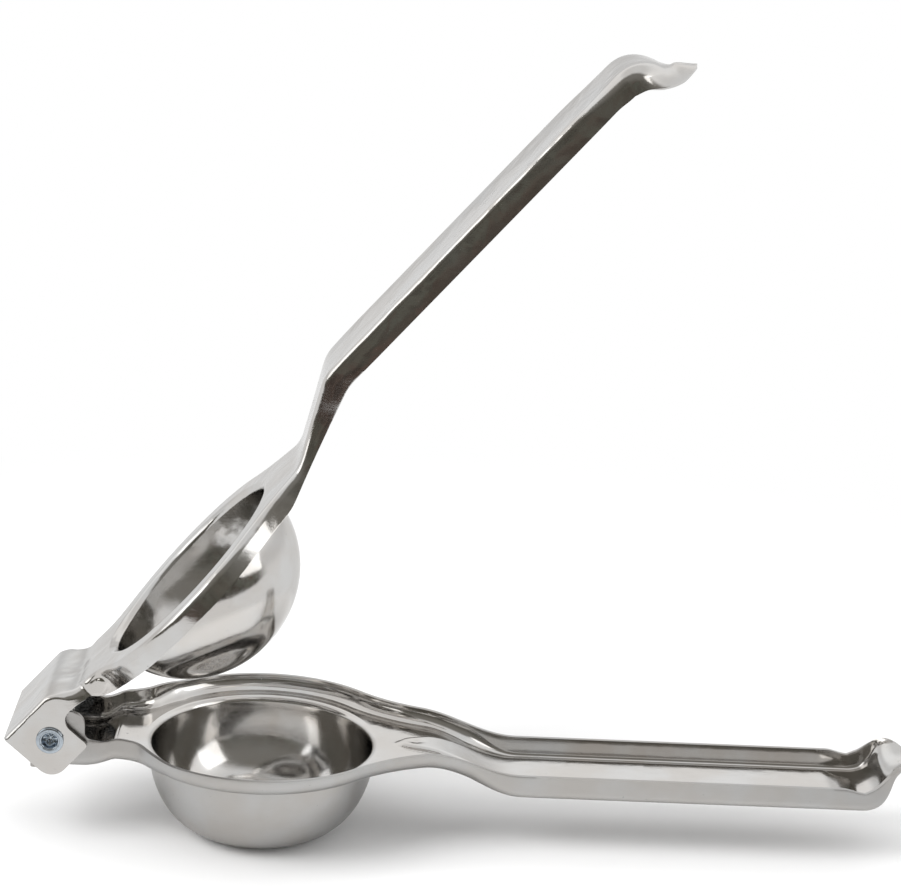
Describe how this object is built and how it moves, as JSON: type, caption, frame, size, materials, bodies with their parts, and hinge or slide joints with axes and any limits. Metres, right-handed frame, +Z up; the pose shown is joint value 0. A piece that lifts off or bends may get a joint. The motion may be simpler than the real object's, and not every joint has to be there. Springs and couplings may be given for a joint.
{
  "type": "hinged citrus squeezer",
  "caption": "Two-handled citrus squeezer of pressed steel: a strainer bowl in the lower arm, a press cup in the upper arm, hinged together on rivets at one end.",
  "frame": {"origin": "centre of the bowl's flat base, on its underside, where the squeezer stands", "axes": "+Z up along the bowl's axis, +X from the bowl towards the handle tips, Y along the hinge axis; near and far in node names mean -Y and +Y"},
  "size_m": [0.2282, 0.0704, 0.198],
  "materials": {
    "lower_steel": "satin outside, polished inside and on the handle",
    "upper_steel": "polished stainless steel",
    "rivet_zinc": "bluish zinc plating"
  },
  "bodies": {
    "lower": {"lower_arm": "lower_steel"},
    "upper": {"upper_arm": "upper_steel", "rivet_near": "rivet_zinc", "rivet_far": "rivet_zinc"}
  },
  "joints": [
    {"name": "hinge", "type": "hinge", "parent": "lower", "child": "upper", "pos_m": [-0.0512, 0, 0.0272], "axis": [0, -1, 0], "range_deg": [-48.5, 59]}
  ]
}
